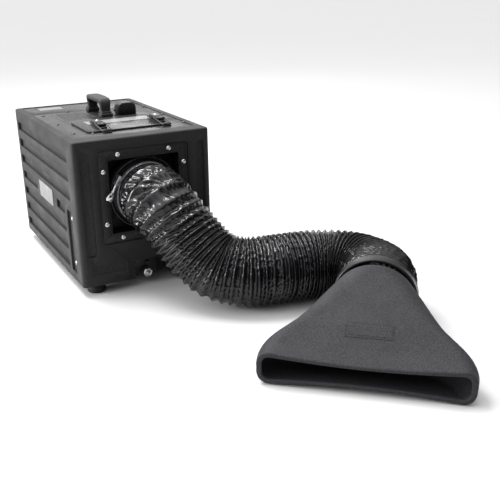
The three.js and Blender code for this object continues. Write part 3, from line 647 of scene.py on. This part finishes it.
def nozzle_ring(behind, inset=0.0):
    """A rounded box across the nozzle, its corners growing into a full circle at the neck."""
    wide, tall, middle, pinch = nozzle_size(behind, inset)
    growth = (NOZZLE["shoulder"] - NOZZLE["corner"]) * (behind / NOZZLE["neck"]) ** 0.8
    grown = NOZZLE["corner"] + growth - inset
    corner = min(max(grown, 7.0), tall)
    outline = [(wide, 0.0)]
    for quarter, (side, up) in enumerate(((1, 1), (-1, 1), (-1, -1), (1, -1))):
        for step in range(25):
            angle = math.pi / 2 * (quarter + step / 24)
            outline.append((side * (wide - corner) + corner * math.cos(angle),
                            up * (tall - corner) + corner * math.sin(angle)))
    outline = np.array([*outline, (wide, 0.0)])
    lengths = np.concatenate([[0], np.cumsum(np.linalg.norm(np.diff(outline, axis=0), axis=1))])
    places = np.linspace(0, lengths[-1], NOZZLE_POINTS, endpoint=False)
    ring = []
    for u, v in zip(np.interp(places, lengths, outline[:, 0]), np.interp(places, lengths, outline[:, 1])):
        lifted = middle + v * (1 - pinch * math.cos(math.pi * u / (2 * wide)))
        ring.append(on_nozzle(u, behind, lifted))
    return ring


def neck_ring(behind, radius):
    turns = [2 * math.pi * i / NOZZLE_POINTS for i in range(NOZZLE_POINTS)]
    return [on_nozzle(radius * math.cos(t), behind, NECK_HEIGHT + radius * math.sin(t)) for t in turns]


def add_nozzle():
    neck, wall, lip = NOZZLE["neck"], NOZZLE["wall"], NOZZLE["lip"]
    lengthwise = [*np.arange(2, 60, 2.0), *np.arange(60, neck - 2, 3.0)]
    rings = [nozzle_ring(b) for b in lengthwise]
    rings += [nozzle_ring(neck - 1.5), nozzle_ring(neck - 0.5, 0.5), nozzle_ring(neck, 1.6)]
    rings += [neck_ring(neck, NOZZLE["spigot"]), neck_ring(NOZZLE["end"], NOZZLE["spigot"]),
              neck_ring(NOZZLE["end"], NOZZLE["bore"]), neck_ring(neck, NOZZLE["bore"])]
    rings += [nozzle_ring(b, wall) for b in reversed(lengthwise[7:-3:2])]
    rings += [nozzle_ring(6, lip - 1), nozzle_ring(2.4, lip), nozzle_ring(0.8, lip - 0.3),
              nozzle_ring(0.1, lip - 1.1), nozzle_ring(0, lip - 2), nozzle_ring(0, 2.2),
              nozzle_ring(0.3, 1.2), nozzle_ring(1, 0.4)]
    vertices = [v for ring in rings for v in ring]
    shell = outward(new_piece("nozzle_shell", vertices, ring_faces(len(rings), NOZZLE_POINTS, closed=True)))
    dress(shell, "nozzle", "nozzle", replaces=["nozzle"])
    # The edge plate is in the darker plate finish: painted shade standing in for the shaded recessed
    # outline round the badge.
    add_badge("nozzle_badge_edge", (-34, 38), (44.4, 65.6), 0.7, "plate")
    add_badge("nozzle_badge", (-31.4, 35.4), (47.4, 62.4), 1.2, "nozzle")


def add_badge(name, across, along, height, finish):
    """A thin plain plate that follows the nozzle's top."""
    columns, rows = 15, 13
    tops, lows = [], []
    for behind in np.linspace(*along, rows):
        wide, tall, middle, pinch = nozzle_size(behind)
        for u in np.linspace(*across, columns):
            surface = middle + tall * (1 - pinch * math.cos(math.pi * u / (2 * wide)))
            tops.append(on_nozzle(u, behind, surface + height))
            lows.append(on_nozzle(u, behind, surface - 1.0))
    plate = slab(name, tops, lows, columns)
    dress(round_edges(plate, 0.2, 1), "nozzle", "nozzle", finish)


def slab(name, tops, lows, columns):
    """A closed plate from a grid of points on its top and the same grid on its underside."""
    count = len(tops)
    rows = count // columns
    faces = []
    for r in range(rows - 1):
        for c in range(columns - 1):
            quad = [r * columns + c, r * columns + c + 1, (r + 1) * columns + c + 1, (r + 1) * columns + c]
            faces.append(quad)
            faces.append([count + i for i in reversed(quad)])
    border = [*range(columns), *range(2 * columns - 1, count, columns),
              *range(count - 2, count - columns - 1, -1), *range(count - 2 * columns, 0, -columns)]
    for first, second in zip(border, border[1:] + border[:1]):
        faces.append([first, second, count + second, count + first])
    return outward(new_piece(name, tops + lows, faces, smooth=False))


# ---------- shared small parts ----------
def merged(name, pieces):
    """Several closed meshes as one piece."""
    bm = bmesh.new()
    for piece in pieces:
        bm.from_mesh(piece.data)
        bpy.data.objects.remove(piece)
    mesh = bpy.data.meshes.new(name)
    bm.to_mesh(mesh)
    bm.free()
    return placed(name, mesh)


BOX_FACES = [(0, 3, 2, 1), (4, 5, 6, 7), (0, 1, 5, 4), (1, 2, 6, 5), (2, 3, 7, 6), (3, 0, 4, 7)]


def block(name, low, high, edge, segments=3):
    """A box with rounded edges, from its low and high corners in mm from the cabinet's centre."""
    corners = [at(x, y, z) for z in (low[2], high[2]) for x, y in
               ((low[0], low[1]), (high[0], low[1]), (high[0], high[1]), (low[0], high[1]))]
    return round_edges(new_piece(name, corners, BOX_FACES), edge, segments)


def lofted(name, rings):
    """A closed skin through rings of equal length, capped at both ends."""
    around = len(rings[0])
    faces = ring_faces(len(rings), around)
    faces += [tuple(range(around)), tuple(range(around * (len(rings) - 1), around * len(rings)))]
    return outward(new_piece(name, [v for ring in rings for v in ring], faces))


def wire(name, line, radius, around=12):
    """A round wire along a line of places."""
    line = np.array([tuple(p) for p in line])
    tangents = np.gradient(line, axis=0)
    tangents /= np.linalg.norm(tangents, axis=1)[:, None]
    up = np.array([0.0, 0.0, 1.0])
    rings = []
    for centre, tangent in zip(line, tangents):
        side = np.cross(tangent, up)
        side /= np.linalg.norm(side)
        other = np.cross(side, tangent)
        rings.append([centre + (side * math.cos(t) + other * math.sin(t)) * radius * MM
                      for t in (2 * math.pi * i / around for i in range(around))])
    return lofted(name, rings)


def pan_head_mesh():
    """A pan head of 1 mm radius with a cross recess, standing on the origin along +Z."""
    dome = [(0.001, -0.07), (1, -0.07), (1, 0.15), (0.93, 0.3), (0.76, 0.46), (0.45, 0.57), (0.001, 0.6)]
    head = turned("pan_head", dome, Vector(), (0, 0, 1), 28)
    for across in (0, 1):
        corners = []
        for depth, reach, half in ((0.26, 0.42, 0.08), (0.75, 0.62, 0.13)):
            for a, b in ((-1, -1), (1, -1), (1, 1), (-1, 1)):
                spot = (a * reach, b * half) if across else (-b * half, a * reach)
                corners.append(Vector((*spot, depth)) * MM)
        cutter = outward(new_piece("recess", corners, BOX_FACES, False))
        cut_away(head, cutter)
    mesh = head.data
    bpy.data.objects.remove(head)
    return mesh


def pan_screw(name, place, axis, radius):
    """A copy of the pan head, standing along an axis."""
    mesh = PAN_HEAD.copy()
    mesh.transform(Vector(axis).to_track_quat("Z", "Y").to_matrix().to_4x4() @ Matrix.Scale(radius, 4))
    mesh.transform(Matrix.Translation(place))
    return placed(name, mesh)


PAN_HEAD = pan_head_mesh()


# ---------- screws ----------
def add_screws():
    away, along = 79.5, 50
    places = [(-along, away), (along, away), (along, -away), (-along, -away),
              (-away, along), (away, along), (away, -along), (-away, -along)]
    for i, (x, z) in enumerate(places, 1):
        head = pan_screw(f"plate_screw_{i}", at(x, PLATE_FACE, INTAKE_Z + z), (0, -1, 0), SCREW_RADIUS)
        dress(head, "cabinet", "screws", replaces=[f"intake_screw_{i}"])
    for hand, side in (("left", -1), ("right", 1)):
        for level in ("upper", "lower"):
            low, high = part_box(f"side_screw_{hand}_{level}")
            inner = high.x if side < 0 else low.x
            place = Vector((inner, (low.y + high.y) / 2, (low.z + high.z) / 2))
            head = pan_screw(f"strip_screw_{hand}_{level}", place, (side, 0, 0), SCREW_RADIUS)
            dress(head, "cabinet", "screws", replaces=[f"side_screw_{hand}_{level}"])
    heads = [pan_screw(f"deck_{i}", at(x, y, DECK), (0, 0, 1), TOP_SCREW_RADIUS)
             for i, (x, y) in enumerate(TOP_SCREWS)]
    dress(merged("panel_screws", heads), "cabinet", "screws", "blackened")


# ---------- cabinet top ----------
def add_grille():
    """A perforated sheet: each cell of the grid has a round hole, but for a plain margin."""
    columns, rows, margin = 21, 25, 1
    low, high = GRILLE["low"], GRILLE["high"]
    xs, ys = np.linspace(*GRILLE["x"], columns + 1), np.linspace(*GRILLE["y"], rows + 1)
    bm = bmesh.new()
    known = {}

    def point(x, y, z):
        key = (round(x, 4), round(y, 4), z)
        if key not in known:
            known[key] = bm.verts.new(at(x, y, z))
        return known[key]

    def wall(start, end):
        bm.faces.new([point(*start, low), point(*end, low), point(*end, high), point(*start, high)])

    def on_border(start, end):
        return any(start[k] == end[k] and start[k] in (lines[0], lines[-1])
                   for k, lines in enumerate((xs, ys)))

    for c in range(columns):
        for r in range(rows):
            (x0, x1), (y0, y1) = xs[c:c + 2], ys[r:r + 2]
            xm, ym = (x0 + x1) / 2, (y0 + y1) / 2
            edge = [(x1, ym), (x1, y1), (xm, y1), (x0, y1), (x0, ym), (x0, y0), (xm, y0), (x1, y0)]
            hole = [(xm + GRILLE["hole"] * math.cos(math.pi * k / 4),
                     ym + GRILLE["hole"] * math.sin(math.pi * k / 4)) for k in range(8)]
            sides = [(k, (k + 1) % 8) for k in range(8)]
            open_cell = margin <= c < columns - margin and margin <= r < rows - margin
            for z in (low, high):
                if not open_cell:
                    bm.faces.new([point(x, y, z) for x, y in edge])
                    continue
                for k, n in sides:
                    bm.faces.new([point(*edge[k], z), point(*edge[n], z),
                                  point(*hole[n], z), point(*hole[k], z)])
            if open_cell:
                for k, n in sides:
                    wall(hole[k], hole[n])
            if c in (0, columns - 1) or r in (0, rows - 1):
                for k, n in sides:
                    if on_border(edge[k], edge[n]):
                        wall(edge[k], edge[n])
    bmesh.ops.recalc_face_normals(bm, faces=bm.faces)
    mesh = bpy.data.meshes.new("perforated_grille")
    bm.to_mesh(mesh)
    bm.free()
    dress(placed("perforated_grille", mesh), "cabinet", "steel", "grille", ["exhaust_grille"])


# Along the strap: y and z of its middle, its width and its thickness.
HANDLE_STATIONS = [
    (4.2, DECK + 3, 19, 11), (4.2, DECK + 16, 20, 11), (4.4, DECK + 26, 22, 11),
    (6.6, DECK + 31.6, 24, 10.5), (13, DECK + 33.6, 25.5, 9.5), (28, DECK + 34.1, 28, 9),
    (46, DECK + 34.2, 29, 9), (64, DECK + 34.1, 28, 9), (79, DECK + 33.6, 25.5, 9.5),
    (85.4, DECK + 31.6, 24, 10.5), (87.6, DECK + 26, 22, 11), (87.8, DECK + 16, 20, 11),
    (87.8, DECK + 3, 19, 11),
]


def add_handle():
    """A wide moulded strap that narrows into its legs, on two stepped feet."""
    line = smooth_route(HANDLE_STATIONS, 6)
    heading = np.gradient(line[:, :2], axis=0)
    heading /= np.linalg.norm(heading, axis=1)[:, None]
    around, squareness = 48, 0.4
    rings = []
    for (y, z, width, thick), (dy, dz) in zip(line, heading):
        ring = []
        for i in range(around):
            turn = 2 * math.pi * i / around
            c, s = math.cos(turn), math.sin(turn)
            across = width / 2 * math.copysign(abs(c) ** squareness, c)
            out = thick / 2 * math.copysign(abs(s) ** squareness, s)
            ring.append(at(HANDLE_X + across, y - dz * out, z + dy * out))
        rings.append(ring)
    pieces = [lofted("strap", rings)]
    for y0, y1 in ((-6, 12), (80, 98)):
        for half, inset, low, high in ((13, 0, 0.3, 9), (11, 2, 6, 13)):
            pieces.append(block("step", (HANDLE_X - half, y0 + inset, DECK + low),
                                (HANDLE_X + half, y1 - inset, DECK + high), 2.4))
    dress(merged("strap_handle", pieces), "cabinet", "moulding", "handle", ["carry_handle"])


def add_hatch_band():
    """A plain satin strip across the hatch."""
    band = block("hatch_band", (-58, -75, HATCH_TOP), (72, -41, HATCH_TOP + 0.35), 0.12, 1)
    dress(band, "hatch", "label", "band")


def add_latch(hand):
    """The wire, thumb knob, cap and rivet of a draw latch. The wire's ends run into the cap."""
    x = LATCH_X[hand]
    (link_y, link_z), (bar_y, bar_z) = LATCH["link"], LATCH["bar"]
    reach, bend = 9.7, 3.0
    half = [(5.9, link_y, link_z), (7.4, link_y, link_z), (9.0, link_y - 0.4, link_z),
            (reach, link_y - 2, link_z)]
    half += [(reach, link_y + (bar_y - link_y) * t, link_z + (bar_z - link_z) * t) for t in (0.2, 0.5, 0.8)]
    half += [(reach, bar_y + bend, bar_z), (reach - 0.8, bar_y + 0.8, bar_z), (reach - bend, bar_y, bar_z)]
    right = [(x + u, y, z) for u, y, z in half]
    left = [(x - u, y, z) for u, y, z in reversed(half)]
    line = smooth_route([at(*p) / MM for p in [*right, *left]], 5) * MM
    bail = wire(f"bail_wire_{hand}", line, 1.2)
    dress(bail, f"latch_bail_{hand}", "steel", "blackened", [f"latch_bail_{hand}"])
    floor = HATCH_TOP + 2.9
    knob = [(0.001, floor - 0.2), (7.4, floor - 0.2), (8, floor + 0.5), (8, floor + 2), (7.2, floor + 3),
            (4.6, floor + 3.3), (3.6, floor + 2.5), (0.001, floor + 2.4)]
    place = at(x, LATCH["pivot_y"] + 46, 0)
    tab = turned(f"latch_knob_{hand}", knob, place, (0, 0, 1), 40)
    dress(tab, f"latch_lever_{hand}", "trim")
    cap = block(f"latch_cap_{hand}", (x - 7.8, -108.6, HATCH_TOP + 3.2),
                (x + 7.8, -77, HATCH_TOP + 10.6), 3, 4)
    dress(cap, f"latch_lever_{hand}", "trim")
    dome = [(0.001, 5), (3.1, 5), (3.1, 9.8), (2.6, 10.6), (1.4, 11.1), (0.001, 11.2)]
    place = at(x, LATCH["pivot_y"] + 23, HATCH_TOP + 0.6)
    rivet = turned(f"latch_rivet_{hand}", dome, place, (0, 0, 1), 24)
    dress(rivet, f"latch_lever_{hand}", "screws")


def cover_ring(y, inset, low):
    """An arched outline across the switch cover."""
    half, high, corner = SWITCH["half"] - inset, SWITCH["high"] - inset, SWITCH["corner"] - inset
    outline = [(-half, low), (half, low)]
    for start, side in ((0, 1), (90, -1)):
        for step in range(13):
            angle = math.radians(start + 90 * step / 12)
            outline.append((side * (half - corner) + corner * math.cos(angle),
                            high - corner + corner * math.sin(angle)))
    return [at(SWITCH["x"] + u, y, z) for u, z in outline]


def add_switch_cover():
    """A domed cover, hollow underneath, on two pins."""
    front, back, wall = SWITCH["front"], SWITCH["back"], SWITCH["wall"]
    edge = 3.2
    steps = [(edge * (1 - math.cos(t)), edge * (1 - math.sin(t))) for t in np.linspace(0, math.pi / 2, 6)]
    rings = [cover_ring(front + along, inset, SWITCH["low"]) for along, inset in steps]
    rings += [cover_ring(back - along, inset, SWITCH["low"]) for along, inset in reversed(steps)]
    shell = lofted("switch_dome", rings)
    inside = lofted("hollow", [cover_ring(y, wall, SWITCH["low"] - 4) for y in (front + wall, back - wall)])
    (pivot_y, pivot_z), x, half = SWITCH["pivot"], SWITCH["x"], SWITCH["half"]
    heel = block("heel", (x - half - 3, pivot_y, DECK - 2),
                 (x + half + 3, back + 4, pivot_z - 5), 0.1, 1)
    rear = block("rear", (x - half + wall, back - 5, DECK - 2),
                 (x + half - wall, back + 4, DECK + 15), 0.1, 1)
    for cutter in (inside, heel, rear):
        cut_away(shell, cutter)
    pins = [turned("pin", [(0.001, 0), (2.4, 0), (2.4, 2.2), (1.8, 2.8), (0.001, 2.8)],
                   at(x + side * (half - 0.6), pivot_y, pivot_z), (side, 0, 0), 24) for side in (-1, 1)]
    cover = merged("switch_dome_cover", [shell, *pins])
    dress(round_edges(cover, 0.35, 2, 40), "switch_cover", "trim", replaces=["switch_cover"])


# ---------- front ----------
def add_collar():
    bore, spigot, rim = 51, 55, 68.5
    profile = [(bore, -173.3), (rim, -173.3), (rim, -206.2), (rim - 0.4, -206.8), (rim - 1, -207),
               (rim - 2, -207), (rim - 2.5, -206.4), (rim - 2.5, -200), (spigot, -200), (spigot, -237.4),
               (spigot - 0.6, -238), (bore + 0.6, -238), (bore, -237.4)]
    collar = turned("collar_ring", profile, at(0, 0, INTAKE_Z), (0, 1, 0), 128)
    dress(collar, "cabinet", "trim", replaces=["intake_collar"])


def add_socket_ring():
    face = -191.3
    profile = [(0.001, face - 2), (5, face - 2), (5, face - 15.4), (5.6, face - 16), (7.5, face - 16),
               (9, face - 14.5), (9, face - 3), (7.6, face - 3), (7.6, face - 0.3), (0.001, face - 0.3)]
    ring = turned("socket_sleeve", profile, at(-4, 0, 25), (0, 1, 0), 48)
    dress(ring, "cabinet", "screws", replaces=["socket_ring"])


def add_feet():
    profile = [(5, 3), (5, 18.2), (15.4, 18.2), (18, 4.6), (17.6, 2), (16, 0.2), (15, 0), (11, 0), (9, 3)]
    for end in ("front", "rear"):
        for hand in ("left", "right"):
            low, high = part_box(f"foot_{end}_{hand}")
            centre = (low + high) / 2 * Vector((1, 1, 0))
            foot = turned(f"foot_pad_{end}_{hand}", profile, centre, (0, 0, 1), 56)
            dress(foot, "cabinet", "rubber", replaces=[f"foot_{end}_{hand}"])


# ---------- all pieces ----------
add_camera()
add_hose()
add_studio()
add_floor()
add_nozzle()
add_collar()
add_socket_ring()
add_feet()
add_screws()
add_grille()
add_handle()
add_hatch_band()
add_switch_cover()
add_latch("left")
add_latch("right")

PLAIN_BEVELS = {
    "housing": 0.7, "top_panel": 0.5, "rear_panel": 0.5, "filter_hatch": 0.8, "intake_plate": 0.5,
    "intake_pocket": 0.6, "switch_base": 0.5, "rocker_switch": 0.5, "socket_block": 0.6,
    "clamp_band": 0.3, "clamp_screw": 0.4, "rear_label_plate": 0.3, "side_label_plate": 0.3,
    "side_strip_left": 0.5, "side_strip_right": 0.5, "power_inlet": 0.6, "latch_base_left": 0.3,
    "latch_base_right": 0.3, "latch_lever_left": 0.6, "latch_lever_right": 0.6,
    "latch_keeper_left": 0.4, "latch_keeper_right": 0.4,
}
for node_name, bevel_width in PLAIN_BEVELS.items():
    refined(node_name, bevel_width)

for node_name, node in NODES.items():
    if not node.hide_render:
        node.data.materials.clear()
        node.data.materials.append(FINISHES[SLOT_OF[node_name]])
